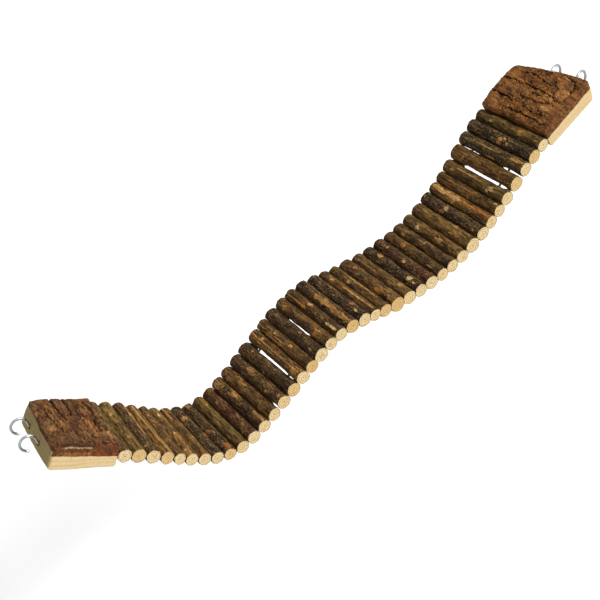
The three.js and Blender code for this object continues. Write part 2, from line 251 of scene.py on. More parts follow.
def give(piece, name, values, kind="FLOAT"):
    """Stores one value, colour or vector a point, for the materials."""
    values = np.asarray(values, float)
    attribute = piece.data.attributes.new(name, kind, "POINT")
    if kind == "FLOAT_COLOR":
        values = np.hstack([values, np.ones((len(values), 1))])
    field = {"FLOAT": "value", "FLOAT_VECTOR": "vector", "FLOAT_COLOR": "color"}[kind]
    attribute.data.foreach_set(field, values.ravel())


def grid_faces(rows, around):
    """Faces of a tube of rows of points, closed by a single point before and after them."""
    faces = []
    for r in range(rows - 1):
        for c in range(around):
            a, b = 1 + r * around + c, 1 + r * around + (c + 1) % around
            faces.append((a, b, b + around, a + around))
    last = 1 + (rows - 1) * around
    for c in range(around):
        d = (c + 1) % around
        faces.append((0, 1 + d, 1 + c))
        faces.append((last + around, last + c, last + d))
    return faces


def tube(route, radius, around):
    """Points and faces of a rod with rounded tips along a route."""
    bulge = 0.28  # of the radius, by which a tip stands out
    tip = [(0.35, 0.0), (0.8, 0.07), (1, bulge)]  # shares of the radius: across, and back from the tip
    route = np.asarray(route, float)
    along = np.gradient(route, axis=0)
    along /= np.linalg.norm(along, axis=1)[:, None]
    side = np.cross(along[0], [0.13, 0.21, 0.97])
    rows = []
    for i, (point, way) in enumerate(zip(route, along)):
        side = side - way * (side @ way)
        side /= np.linalg.norm(side)
        other = np.cross(way, side)
        angle = np.arange(around) * 2 * math.pi / around
        ring = np.cos(angle)[:, None] * side + np.sin(angle)[:, None] * other
        if i == 0:
            rows += [point + ring * radius * s - way * radius * (bulge - t) for s, t in tip]
        elif i == len(route) - 1:
            rows += [point + ring * radius * s + way * radius * (bulge - t) for s, t in reversed(tip)]
        else:
            rows.append(point + ring * radius)
    first = route[0] - along[0] * radius * bulge
    last = route[-1] + along[-1] * radius * bulge
    return np.vstack([first[None], *rows, last[None]]), grid_faces(len(rows), around)


# Neighbours in the chain keep to their own side of the wedge that their hinge needs at its limits

CLEAR, LEAN = 0.05, 0.055  # mm, and the wedge's slope: a little over the tangent of half the 6 degrees
ALOFT, OVERHANG = 6.4, 3.2  # mm: so high over a hinge, a board's bark may reach so far over its neighbour
LIP, LIP_HEIGHT = 0.42, 0.75  # mm: where two sticks touch, the bark of one bulges into a dent of the other
LIP_END, LIP_FULL = 34.2, 31.8  # mm from the middle, where the bulge ends and is full
TOUCH_END, TOUCH_FULL = 34.4, 32.2  # the same for the touch of two sticks
# Where daylight shows between two sticks: mm along them from the middle, the front negative
SLITS = {13: [(-34, -26)], 15: [(-28, 23)], 18: [(-12, 17)], 36: [(-29, 20)], 37: [(-37, -15), (13, 37)]}
WIDER = 0.38  # mm by which the bark stands back there


def hinges(points, piece):
    """For both hinges of a piece: the way there, the room left and needed, height and place along, number."""
    for joint, way in ((piece - 1, -1), (piece, 1)):
        if not 0 <= joint < len(JOINTS):
            continue
        axis = side_of(joint) + side_of(joint + 1)
        axis /= np.linalg.norm(axis)
        ahead = PIECES[joint][1][:, 0] + PIECES[joint + 1][1][:, 0]
        ahead -= axis * (ahead @ axis)
        ahead /= np.linalg.norm(ahead)
        off = points - JOINTS[joint]
        height = off @ np.cross(ahead, axis)
        along = off @ axis
        lip = LIP * bell(height, LIP_HEIGHT) * step(LIP_END, LIP_FULL, np.abs(along))
        lip = lip * (0 < joint < STICKS)
        room = way * (lip - off @ ahead)
        yield way * ahead, room, CLEAR + LEAN * np.abs(height), height, along, joint


def keep_apart(points, piece):
    """Pushes a piece's points back to its own side of both hinges."""
    for ahead, room, need, height, _, _ in hinges(points, piece):
        if not 0 < piece <= STICKS:
            need = np.where(height > ALOFT, -OVERHANG, need)
        points = points - np.maximum(need - room, 0)[:, None] * ahead
    return points


def touch(points, piece):
    """Lets the bark of neighbours nearly touch along their middles, but stand back at the slits."""
    for ahead, room, need, height, along, joint in hinges(points, piece):
        slit = np.zeros(len(points))
        for start, end in SLITS.get(joint, []):
            here = step(start - 1.5, start + 2.5, along) * step(end + 1.5, end - 2.5, along)
            slit = np.maximum(slit, here)
        reach = (room - need - 0.01).clip(0, 1.4) * step(2.5, 1.0, np.abs(height))
        reach = reach * step(TOUCH_END, TOUCH_FULL, np.abs(along))
        reach = reach * (1 - slit) - WIDER * slit * step(4.5, 0.5, np.abs(height))
        points = points + np.where(room < 3, reach, 0)[:, None] * ahead
    return points


def side_of(piece):
    """The way along a stick, or across a board."""
    _, attitude = PIECES[piece]
    turn = skew_of(piece) if 0 < piece <= STICKS else 0
    return (attitude @ turned(turn))[:, 1]


def linear(colour):
    """Linear light from sRGB shares."""
    colour = np.clip(colour, 0, 1)
    return np.where(colour <= 0.04045, colour / 12.92, ((colour + 0.055) / 1.055) ** 2.4)


# Sticks

def trait(index, kind):
    """A stick's own value from -1 to 1 for each kind of unevenness, the same as in the part's source."""
    wave = math.sin((index + 1) * 12.9898 + kind * 78.233) * 43758.5453
    return 2 * (wave - math.floor(wave)) - 1


# Bark tones in sRGB, and how rough each is
TONES = {
    "olive": ((0.47, 0.365, 0.18), 0.7), "golden": ((0.50, 0.355, 0.165), 0.8),
    "tan": ((0.52, 0.39, 0.205), 0.7), "brown": ((0.43, 0.305, 0.15), 0.9),
    "dark": ((0.315, 0.22, 0.115), 1.05), "black": ((0.235, 0.165, 0.09), 1.25),
    "red": ((0.35, 0.215, 0.115), 0.85), "grey": ((0.40, 0.315, 0.205), 1.3),
}
# What shows under the bark, in sRGB: white, tan, orange and pale wood, and painted shade for the inside of a
# hole
UNDER = {
    "w": (0.80, 0.68, 0.48), "t": (0.71, 0.53, 0.30), "o": (0.68, 0.43, 0.20), "p": (0.78, 0.62, 0.38),
    "h": (0.09, 0.06, 0.04),
}

# Each stick from the lower board up: its tone, then its marks. A knot has the angle round the stick
# (0 forward, 90 up), the share of the length from its middle, and its radius. A peeled strip has the angle,
# the shares where it starts and ends, and its half width. The colour comes last, if it isn't tan.
STICK_LOOKS = [
    ("olive", [(110, 0.22, 1.2)]),
    ("olive", [(122, 0.24, 1.1, "w"), (118, -0.24, 0.9, "w")]),
    ("dark", [(60, -0.12, 0.40, 2.2, "p"), (50, 0.30, 1.5, "o"), (136, -0.37, 0.9, "w")]),
    ("golden", [(72, -0.45, -0.31, 2.6, "p"), (52, -0.34, 0.42, 1.1, "p"), (100, -0.25, 0.45, 0.7, "p")]),
    ("brown", [(112, 0.30, 1.1), (70, 0.12, 0.9)]),
    ("tan", [(108, 0.33, 0.9, "w"), (110, -0.07, 0.9, "w"), (133, -0.40, 0.8, "w")]),
    ("golden", [(118, 0.28, 0.48, 0.7), (80, -0.16, 1.0)]),
    ("black", [(105, 0.24, 1.7), (55, -0.12, 1.3, "o")]),
    ("black", [(134, -0.08, 1.7, "o"), (85, -0.52, -0.43, 2.2, "o"), (95, 0.45, 0.5, 2.0)]),
    ("olive", [(60, 0.31, 0.8)]),
    ("red", [(80, -0.3, 0.8), (100, 0.22, 0.8), (125, -0.38, 0.8, "w")]),
    ("dark", [(100, 0.40, 2.3), (60, 0.09, 0.12, 2.4), (40, 0.13, 0.2, 1.6), (55, -0.5, -0.3, 1.2)]),
    ("brown", [(62, 0.10, 0.16, 1.7), (42, 0.18, 0.25, 1.2), (132, 0.35, 1.1, "w"), (128, -0.32, 1.3)]),
    ("dark", [(80, 0.10, 1.6), (72, 0.17, 1.3), (114, -0.24, 1.0, "w"), (80, -0.45, 1.3)]),
    ("dark", [(140, -0.02, 1.2), (60, 0.3, 0.9)]),
    ("brown", [(108, -0.1, 0.52, 0.6), (82, -0.45, 0.5, 0.7), (100, -0.40, 2.2), (62, 0.3, 1.2)]),
    ("brown", [(130, -0.05, 0.30, 1.9), (78, -0.12, 1.2), (75, 0.20, 0.9, "w"), (98, -0.04, 0.5, 0.5)]),
    ("dark", [(115, -0.38, 1.0, "w"), (60, -0.1, 0.9)]),
    ("brown", [(122, -0.28, 2.0, "o"), (80, -0.31, -0.26, 1.0), (108, 0.34, 1.4)]),
    ("brown", [(108, -0.45, -0.30, 1.1, "w"), (115, 0.14, 0.28, 1.2, "o"), (72, 0.10, 1.5),
               (112, 0.3, 0.5, 0.6)]),
    ("dark", [(105, -0.50, 0.10, 2.6), (140, -0.04, 1.6, "h"), (92, 0.0, 0.2, 0.7)]),
    ("dark", [(112, -0.37, 1.1, "w"), (85, -0.25, 1.2), (100, 0.2, 1.4, "h")]),
    ("golden", [(90, -0.44, 0.1, 0.9), (100, 0.3, 1.3)]),
    ("golden", [(75, -0.3, 0.3, 0.6), (120, 0.15, 1.1, "w")]),
    ("brown", [(146, -0.35, 2.2, "h"), (136, -0.22, 1.8, "o"), (90, 0.3, 1.2)]),
    ("tan", [(85, -0.32, 1.2, "w"), (110, 0.1, 0.4, 0.6)]),
    ("black", [(92, -0.32, 1.7, "w"), (108, -0.41, 0.8, "w"), (80, 0.25, 1.5)]),
    ("red", [(138, -0.35, 1.0), (112, -0.04, 1.0, "w"), (90, 0.3, 1.0)]),
    ("brown", [(120, -0.38, -0.30, 0.7), (100, 0.18, 1.4, "o")]),
    ("brown", [(75, -0.02, 1.0), (120, 0.33, 1.2)]),
    ("tan", [(100, -0.14, -0.12, 2.2), (110, 0.24, 1.2, "w"), (130, -0.36, 0.9)]),
    ("tan", [(110, -0.3, 1.2), (115, -0.18, 1.0), (45, -0.19, 1.1)]),
    ("black", [(113, 0.13, 1.3), (86, 0.09, 1.3, "w"), (120, -0.41, 0.8)]),
    ("golden", [(116, 0.13, 1.5, "h"), (100, 0.10, 2.4), (75, 0.05, 0.42, 2.2, "p"),
                (70, -0.5, -0.1, 1.2, "o")]),
    ("brown", [(126, -0.04, 1.3), (66, -0.46, 1.0, "w"), (75, -0.2, 0.3, 0.5)]),
    ("olive", [(95, -0.29, 1.4, "w"), (114, -0.25, 1.1, "w"), (100, 0.35, 1.2), (72, -0.1, 0.28, 0.7)]),
    ("golden", [(132, 0.33, 1.2), (110, 0.30, 0.7, "w")]),
    ("grey", [(72, -0.44, -0.33, 1.8), (146, -0.06, 0.02, 1.3), (80, -0.1, 0.3, 0.4)]),
    ("black", [(122, -0.02, 1.6), (100, -0.03, 1.5), (85, -0.08, 0.9), (112, -0.14, 0.9, "w")]),
    ("olive", [(100, -0.2, 1.8), (112, 0.27, 0.9, "w"), (60, 0.1, 0.8)]),
]
AROUND, ALONG = 80, 116  # points
GROWN = 0.36  # mm by which the bark stands out over the solid
PAINTED_SHADE_BY_STICK = (1, 12, 16, 22, 30, 40), (1.0, 0.99, 0.87, 0.75, 0.86, 0.84)  # sticks, and how much their colour is darkened: painted shade on the sticks that rise toward the light
# How much fuller than the solid each stick is at its ends, in hundredths of its thickness
FULLER = [
    9, 4, 4, 1, 8, 1, 5, 5, 2, 5, 6, 2, 2, 3, 9, 13, 13, 16, 13, 12,
    8, 13, 16, 12, 10, 11, 8, 11, 14, 14, 7, 9, 11, 16, 10, 9, 9, 6, 13, 6,
]
# How warm the tone of a cut end is, where the photograph shows it
CUT_WARMTH = {
    2: 0.7, 4: 0.7, 9: 0.8, 14: 0.5, 15: 0.8, 17: 0.95, 21: 0.9, 24: 0.8, 25: 1.0, 37: 0.7, 39: 0.85,
}
EDGE = [0.0, 0.12, 0.32, 0.62, 1.1]  # mm from a sawn end
EDGE_WORN = [0.17, 0.10, 0.05, 0.02, 0]  # mm by which the bark is worn down there
CAP_SHARES = [0.982, 0.95, 0.83, 0.68, 0.53, 0.39, 0.25, 0.12]  # of the way from the pith to the rim


def sawn_end(rim, middle, way, half, seed):
    """Rings of points from the rim in, with the saw's marks, and the point that closes them."""
    rings = []
    for share in CAP_SHARES:
        ring = middle + (rim - middle) * share
        saw = 0.05 * noise(np.stack([ring[:, 0] * 0.5, ring[:, 2] * 2.6, ring[:, 2] * 0], 1), seed)
        inset = 0.05 if share < 0.96 else 0.0
        ring[:, 1] = way * (half - inset + saw - 0.06)
        rings.append(ring)
    return rings, middle - [0, way * 0.08, 0]


def stick_piece(number, material):
    """The bark and the sawn ends of one stick."""
    index = number - 1
    radius = DIAMETERS[index] / 2
    length = STICK_LENGTH * (1 - 0.008 * (1 + trait(index, 1)) / 2)
    tone, marks = STICK_LOOKS[index]
    colour, rough = TONES[tone]
    seed = 101 * number
    random = np.random.default_rng(seed)
    marks = list(marks)
    for _ in range(4):  # the underside and the ends that the photograph hides
        marks.append((random.uniform(195, 345), random.uniform(-0.45, 0.45), random.uniform(0.7, 1.5)))

    half = length / 2
    edge, inner = np.array(EDGE[:-1]), half - EDGE[-1]
    y = np.concatenate([-half + edge, np.linspace(-inner, inner, ALONG), half - edge[::-1]])
    angle = np.arange(AROUND) * 2 * math.pi / AROUND
    a, y = np.meshgrid(angle, y)
    share = y / half

    # The solid's own flats, taper and bow, and then the bark on it
    lobes = 2 if trait(index, 3) > 0 else 3
    shrink = 1 - 0.035 * (1 + np.sin(lobes * a + math.pi * trait(index, 2) + share)) / 2
    shrink -= 0.035 * (1 + trait(index, 4) * share) / 2
    bow = 0.05 * radius * trait(index, 5) / 2
    full = FULLER[index] / 100 * (0.4 + 0.6 * step(0.72, 0.98, np.abs(share)))
    r = radius * (shrink + full) + GROWN
    spot = np.stack([radius * np.cos(a), y, radius * np.sin(a)], -1).reshape(-1, 3)

    def rough_of(scale, count, extra):
        return layers(spot * scale, count, seed + extra).reshape(a.shape)

    wave = rough_of([0.22, 0.07, 0.22], 3, 0)
    sway = 1.5 * layers(spot * [0.10, 0.05, 0.10], 2, seed + 5)[:, None] * [1, 0, 1]
    ridge = 1 - np.abs(layers((spot + sway) * [0.50, 0.085, 0.50], 3, seed + 9)).reshape(a.shape) * 2.6
    grit = rough_of([0.9, 0.4, 0.9], 2, 17)
    relief = 0.34 * wave + rough * (0.20 * ridge + 0.13 * grit) - 0.07
    bare = np.zeros(a.shape)
    under = np.ones(a.shape + (3,)) * UNDER["t"]
    for mark in marks:
        *numbers, kind = mark if isinstance(mark[-1], str) else (*mark, "t")
        turn = math.radians(numbers[0])
        across = radius * ((a - turn + math.pi) % (2 * math.pi) - math.pi)
        fray = rough_of([1.3, 0.8, 1.3], 2, 31)
        if len(numbers) == 3:
            _, spot_at, size = numbers
            size *= 1.2
            torn = rough_of([0.8, 0.45, 0.8], 2, 35)
            far = np.hypot(across / size, (y - spot_at * length) / (1.5 * size)) + 0.42 * fray + 0.55 * torn
            swell = bell(far, 2.6)
            ring = bell(far - 1.1, 0.4)
            deep = bell(far, 0.6)
            relief += size * (0.28 * swell + 0.10 * ring - (0.38 if kind == "h" else 0.12) * deep)
            relief -= 0.16 * bell(far - 1.75, 0.4)
            found = (1 - step(0.7, 1.2, far)) * (1.0 if kind == "h" else step(-0.9, 0.0, fray + 0.3))
        else:
            _, start, end, size = numbers
            over = np.clip(share / 2, start, end)
            torn = rough_of([0.5, 0.22, 0.5], 2, 37)
            far = np.hypot(across / size, (y - over * length) / (2.2 * size)) + 0.5 * fray + 0.55 * torn
            found = 1 - step(0.6, 1.0, far)
            relief += -0.24 * found + 0.14 * bell(far - 1.2, 0.25)
        # A hole's mark is filled with the painted shade of a hole
        under = toward(under, UNDER[kind], found)
        bare = np.maximum(bare, found * (1.0 if kind in "wph" else 0.92))
    r = r + relief
    worn = np.interp(half - np.abs(y), EDGE, EDGE_WORN)
    chips = np.clip(rough_of(0.9, 2, 41), 0, 1) * (half - np.abs(y) < 0.7) * 0.35
    r = r - worn - chips
    points = np.stack([r * np.cos(a), y, r * np.sin(a) + bow * (1 - share**2)], -1)

    pith = np.array([random.uniform(-0.5, 0.5), 0, random.uniform(-0.5, 0.5)])
    low, low_middle = sawn_end(points[0], np.array([0, -half, 0]) + pith * 0.6, -1, half, seed + 51)
    high, high_middle = sawn_end(points[-1], np.array([0, half, 0]) + pith * 0.6, 1, half, seed + 51)
    rows = [*reversed(low), *points, *high]
    flat = np.vstack([low_middle[None], *rows, high_middle[None]])
    first = 1 + len(low) * AROUND
    sides = slice(first, first + len(points) * AROUND)
    cut = np.ones(len(flat))
    cut[sides.start - AROUND:sides.stop + AROUND] = 0  # cut wood starts inside the outermost ring

    def on_sides(values, on_ends):
        whole = np.zeros((len(flat), *values.shape[2:])) + on_ends
        whole[sides] = values.reshape(-1, *values.shape[2:])
        return whole

    place, attitude = PIECES[number]
    turn = attitude @ turned(skew_of(number))
    world = keep_apart(touch(flat @ turn.T + place, number), number)
    name = f"stick_{number:02d}"
    faces = [face[::-1] for face in grid_faces(len(rows), AROUND)]
    piece = new_piece(f"bark_{name}", world, faces, material, f"rung_{number:02d}", name)
    # Painted shade on the sticks that rise toward the light, times each stick's own random tone
    shade = np.interp(number, *PAINTED_SHADE_BY_STICK) * (1 + 0.08 * trait(index, 7))
    drift = layers(flat * [0.05, 0.02, 0.05] + number * 3.1, 2, seed + 61)[:, None]
    tint = np.clip(np.array(colour) * shade * (1 + 0.16 * drift), 0.02, 1)
    give(piece, "tint", linear(tint), "FLOAT_COLOR")
    give(piece, "under", linear(on_sides(under, UNDER["t"]) * (1 + 0.08 * trait(index, 8))), "FLOAT_COLOR")
    give(piece, "bare", on_sides(bare, 0))
    give(piece, "cut", cut)
    give(piece, "rugged", np.full(len(flat), min(max((rough - 0.5) / 0.6, 0.3), 1)))
    # The relief, from which the material paints shade into the hollows and highlights onto the raised bark
    give(piece, "relief", on_sides(relief - 0.3 * wave, 0))
    give(piece, "grain", flat - pith + [0, 173.0 * number, 0], "FLOAT_VECTOR")
    give(piece, "warm", np.full(len(flat), CUT_WARMTH.get(number, 0.25 + 0.15 * trait(index, 9))))


# Materials

class Nodes:
    """Short calls for making and joining the shader nodes of a material or a world."""

    def __init__(self, owner, shader="Principled BSDF"):
        owner.use_nodes = True
        self.owner, self.tree = owner, owner.node_tree
        self.shader = self.tree.nodes[shader]

    def add(self, kind, inputs=None, **settings):
        node = self.tree.nodes.new(kind)
        for key, value in settings.items():
            setattr(node, key, value)
        for key, value in (inputs or {}).items():
            self.put(value, node.inputs[key])
        return node

    def put(self, value, socket):
        if isinstance(value, bpy.types.NodeSocket):
            self.tree.links.new(value, socket)
        else:
            socket.default_value = value

    def read(self, name, output="Fac"):
        return self.add("ShaderNodeAttribute", attribute_name=name).outputs[output]

    def math(self, operation, a, b=0.0, c=0.0):
        node = self.add("ShaderNodeMath", {0: a, 1: b}, operation=operation)
        if operation == "MULTIPLY_ADD":
            self.put(c, node.inputs[2])
        return node.outputs[0]

    def noise(self, vector, stretch, scale, detail, rough, warp=0.0):
        if stretch:
            node = self.add("ShaderNodeVectorMath", {0: vector, 1: stretch}, operation="MULTIPLY")
            vector = node.outputs[0]
        values = {"Vector": vector, "Scale": scale, "Detail": detail, "Roughness": rough, "Distortion": warp}
        return self.add("ShaderNodeTexNoise", values).outputs["Fac"]

    def level(self, value, low, high, to_low=0.0, to_high=1.0):
        values = {"Value": value, "From Min": low, "From Max": high, "To Min": to_low, "To Max": to_high}
        return self.add("ShaderNodeMapRange", values, interpolation_type="SMOOTHSTEP").outputs[0]

    def mix(self, share, a, b, mode="MIX"):
        node = self.add("ShaderNodeMix", data_type="RGBA", blend_type=mode)
        for value, socket in ((share, node.inputs[0]), (a, node.inputs[6]), (b, node.inputs[7])):
            if isinstance(value, tuple) and len(value) == 3:
                value = (*value, 1)
            self.put(value, socket)
        return node.outputs[2]

    def toned(self, share, colour, factor):
        """The colour, and by so large a share the colour times the factor."""
        return self.mix(share, colour, self.mix(1.0, colour, factor, "MULTIPLY"))

    def bump(self, height, strength, distance):
        inputs = {"Height": height, "Strength": strength, "Distance": distance}
        return self.add("ShaderNodeBump", inputs).outputs[0]

    def done(self, values):
        """The owner, once its shader has these values."""
        for name, value in values.items():
            self.put(value, self.shader.inputs[name])
        return self.owner


def srgb(*colour):
    return tuple(float(c) for c in linear(np.array(colour)))


def stick_material():
    """Bark, peeled strips, knots and sawn ends of the sticks, told apart by the values at their points."""
    n = Nodes(bpy.data.materials.new("stick_bark_and_wood"))
    grain, tint, under = n.read("grain", "Vector"), n.read("tint", "Color"), n.read("under", "Color")
    bare, cut, relief, warm = n.read("bare"), n.read("cut"), n.read("relief"), n.read("warm")
    rugged = n.read("rugged")

    # Bark: long streaks, blotches, split threads of pale bast, pores, painted shade in the hollows and
    # painted highlights on the raised bark
    streaks = n.noise(grain, (1, 0.17, 1), 0.62, 7, 0.66, 0.5)
    blotches = n.noise(grain, (1, 0.4, 1), 0.22, 4, 0.6)
    specks = n.noise(grain, (1, 0.6, 1), 1.15, 3, 0.6)
    threads = n.noise(grain, (1, 0.11, 1), 0.48, 3, 0.55, 0.8)
    contrast = n.mix(n.level(streaks, 0.42, 0.58), (0.28, 0.26, 0.22), (1.62, 1.57, 1.42))
    bark = n.mix(1.0, tint, contrast, "MULTIPLY")
    bark = n.toned(n.level(blotches, 0.42, 0.62, 0, 0.35), bark, (0.60, 0.55, 0.48))
    split = n.level(n.math("ABSOLUTE", n.math("SUBTRACT", threads, 0.5)), 0.030, 0.010)
    split = n.math("MULTIPLY", split, n.level(blotches, 0.55, 0.45))
    bark = n.mix(n.math("MULTIPLY", split, 0.9), bark, n.mix(0.6, bark, srgb(0.78, 0.63, 0.38)))
    light = n.math("MULTIPLY", n.level(specks, 0.56, 0.65, 0, 0.95), rugged)
    bark = n.mix(light, bark, n.mix(0.62, bark, srgb(0.78, 0.62, 0.37)))
    dark = n.math("MULTIPLY", n.level(specks, 0.46, 0.37, 0, 0.9), rugged)
    bark = n.toned(dark, bark, (0.33, 0.29, 0.24))
    # Painted shade: the bark darker where its relief is low
    bark = n.toned(n.level(relief, -0.25, 0.10, 0.85, 0.0), bark, (0.30, 0.26, 0.22))
    # Painted highlight: the bark lighter where its relief stands high
    bark = n.toned(n.level(relief, 0.16, 0.45, 0, 0.6), bark, (1.6, 1.5, 1.3))

    # Bare wood under peeled bark, and in the knots
    fibres = n.noise(grain, (1, 0.14, 1), 0.9, 5, 0.65, 0.3)
    frayed = n.math("ADD", bare, n.level(streaks, 0.35, 0.65, -0.22, 0.25))
    contrast = n.mix(n.level(fibres, 0.38, 0.60), (0.50, 0.44, 0.37), (1.4, 1.36, 1.26))
    wood = n.mix(1.0, under, contrast, "MULTIPLY")
    colour = n.mix(n.level(frayed, 0.38, 0.68), bark, wood)

    # Sawn ends: rings round the pith, drying cracks, and the saw's scratches
    parts = n.add("ShaderNodeSeparateXYZ", {0: grain})
    square = n.math("ADD", n.math("POWER", parts.outputs[0], 2.0), n.math("POWER", parts.outputs[2], 2.0))
    far = n.math("SQRT", square)
    wobble = n.noise(grain, None, 0.30, 3, 0.55)
    waved = n.math("MULTIPLY_ADD", wobble, 5.5, far)
    rings = n.level(n.math("SINE", n.math("MULTIPLY", waved, 2.8)), 0.1, 0.95)
    fine = n.noise(grain, (1, 0.2, 1), 1.1, 4, 0.65)
    saw = n.noise(grain, (0.35, 0.1, 1.6), 0.9, 3, 0.6)
    pale = n.mix(warm, srgb(0.94, 0.87, 0.69), srgb(0.88, 0.745, 0.50))
    ringed = n.toned(n.math("MULTIPLY", rings, n.level(fine, 0.60, 0.42, 0.2, 0.9)), pale, (0.60, 0.44, 0.26))
    ringed = n.toned(n.level(fine, 0.47, 0.62, 0, 0.6), ringed, (0.66, 0.54, 0.36))
    ringed = n.toned(n.level(saw, 0.5, 0.7, 0, 0.3), ringed, (0.78, 0.70, 0.56))
    ringed = n.mix(n.level(far, 0.62, 0.3), ringed, srgb(0.46, 0.32, 0.16))
    colour = n.mix(n.level(cut, 0.35, 0.65), colour, ringed)

    rough = n.level(streaks, 0.3, 0.7, 0.68, 0.9)
    height = n.math("ADD", streaks, n.math("MULTIPLY", specks, 0.35))
    normal = n.bump(height, n.level(cut, 0.3, 0.7, 0.85, 0.25), 0.0009)
    return n.done({"Base Color": colour, "Roughness": rough, "Specular IOR Level": 0.2, "Normal": normal})


def board_material():
    """Bark and sawn wood of the boards, told apart by the values at their points."""
    n = Nodes(bpy.data.materials.new("slab_bark_and_wood"))
    grain, tint = n.read("grain", "Vector"), n.read("tint", "Color")
    wood, relief, side, hole_shade = n.read("wood"), n.read("relief"), n.read("side"), n.read("hole_shade")
    streaks = n.noise(grain, (1, 0.30, 1), 0.42, 7, 0.64, 0.5)
    blotches = n.noise(grain, None, 0.12, 4, 0.6)
    fine = n.noise(grain, (1, 0.5, 1), 1.2, 4, 0.65)
    contrast = n.mix(n.level(streaks, 0.37, 0.63), (0.42, 0.38, 0.33), (1.42, 1.38, 1.30))
    bark = n.mix(1.0, tint, contrast, "MULTIPLY")
    bark = n.toned(n.level(blotches, 0.46, 0.60, 0, 0.45), bark, (0.66, 0.60, 0.54))
    bark = n.mix(n.level(fine, 0.55, 0.65, 0, 0.6), bark, n.mix(0.5, bark, srgb(0.74, 0.58, 0.39)))
    bark = n.toned(n.level(fine, 0.45, 0.36, 0, 0.5), bark, (0.42, 0.36, 0.31))
    # Painted shade: the bark darker in its cracks and where its relief is low
    bark = n.toned(n.level(relief, -0.75, -0.1, 0.92, 0.0), bark, (0.20, 0.15, 0.12))
    # Painted highlight: the bark lighter where its relief stands high
    bark = n.toned(n.level(relief, 0.30, 1.0, 0, 0.6), bark, (1.55, 1.45, 1.3))

    # Sawn wood: the year's rings along the slab, and the saw's scratches
    height_of = n.add("ShaderNodeSeparateXYZ", {0: grain}).outputs[2]
    drift = n.noise(grain, (0.10, 0.10, 1.0), 0.30, 3, 0.5)
    waved = n.math("MULTIPLY_ADD", drift, 9.0, n.math("MULTIPLY", height_of, 1.7))
    lines = n.level(n.math("SINE", waved), 0.0, 1.0)
    saw = n.noise(grain, (0.9, 0.12, 0.35), 1.3, 4, 0.65)
    pale = n.mix(side, srgb(0.90, 0.795, 0.60), srgb(0.74, 0.65, 0.44))
    plank = n.toned(n.math("MULTIPLY", lines, 0.30), pale, (0.70, 0.55, 0.36))
    plank = n.toned(n.level(saw, 0.45, 0.7, 0, 0.4), plank, (0.74, 0.64, 0.48))
    edge = n.math("ADD", wood, n.level(fine, 0.35, 0.65, -0.14, 0.14))
    rind = n.level(edge, 0.34, 0.46)
    colour = n.mix(rind, bark, n.mix(n.level(edge, 0.46, 0.8), srgb(0.50, 0.30, 0.13), plank))
    # Painted shade: the drilled holes darkened nearly to black
    colour = n.toned(n.math("MULTIPLY", hole_shade, 0.85), colour, (0.12, 0.09, 0.06))
    rough = n.level(streaks, 0.3, 0.7, 0.7, 0.92)
    height = n.math("ADD", streaks, n.math("MULTIPLY", fine, 0.4))
    normal = n.bump(height, n.level(wood, 0.3, 0.7, 0.9, 0.12), 0.0012)
    return n.done({"Base Color": colour, "Roughness": rough, "Specular IOR Level": 0.2, "Normal": normal})


def metal_material(name, colour, rough):
    """Bare metal, a little uneven in its tone and its polish."""
    n = Nodes(bpy.data.materials.new(name))
    place = n.add("ShaderNodeTexCoord").outputs["Object"]
    marks = n.noise(place, None, 900, 3, 0.6)
    broad = n.noise(place, None, 160, 2, 0.5)
    shade = n.mix(n.level(broad, 0.35, 0.7), tuple(c * 0.82 for c in colour), colour)
    uneven = n.level(marks, 0.35, 0.7, rough, rough + 0.16)
    normal = n.bump(marks, 0.25, 0.00008)
    return n.done({"Base Color": shade, "Metallic": 1, "Roughness": uneven, "Normal": normal})


# Boards: the solid's own surface, made fine and then given its bark, flakes and saw marks

BOARD_VOXEL = 0.45  # mm


def fine_copy(node, voxel):
    """Points, normals and faces of a solid's surface, remade from even squares of so many mm."""
    source = placed("fine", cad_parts[node].data.copy())
    remesh = source.modifiers.new("fine", "REMESH")
    remesh.mode, remesh.voxel_size = "VOXEL", voxel * MM
    made = source.evaluated_get(bpy.context.evaluated_depsgraph_get()).to_mesh()
    points, normals = np.zeros((2, len(made.vertices) * 3))
    made.vertices.foreach_get("co", points)
    made.vertices.foreach_get("normal", normals)
    faces = [tuple(p.vertices) for p in made.polygons]
    bpy.data.objects.remove(source)
    return points.reshape(-1, 3) / MM, normals.reshape(-1, 3), faces


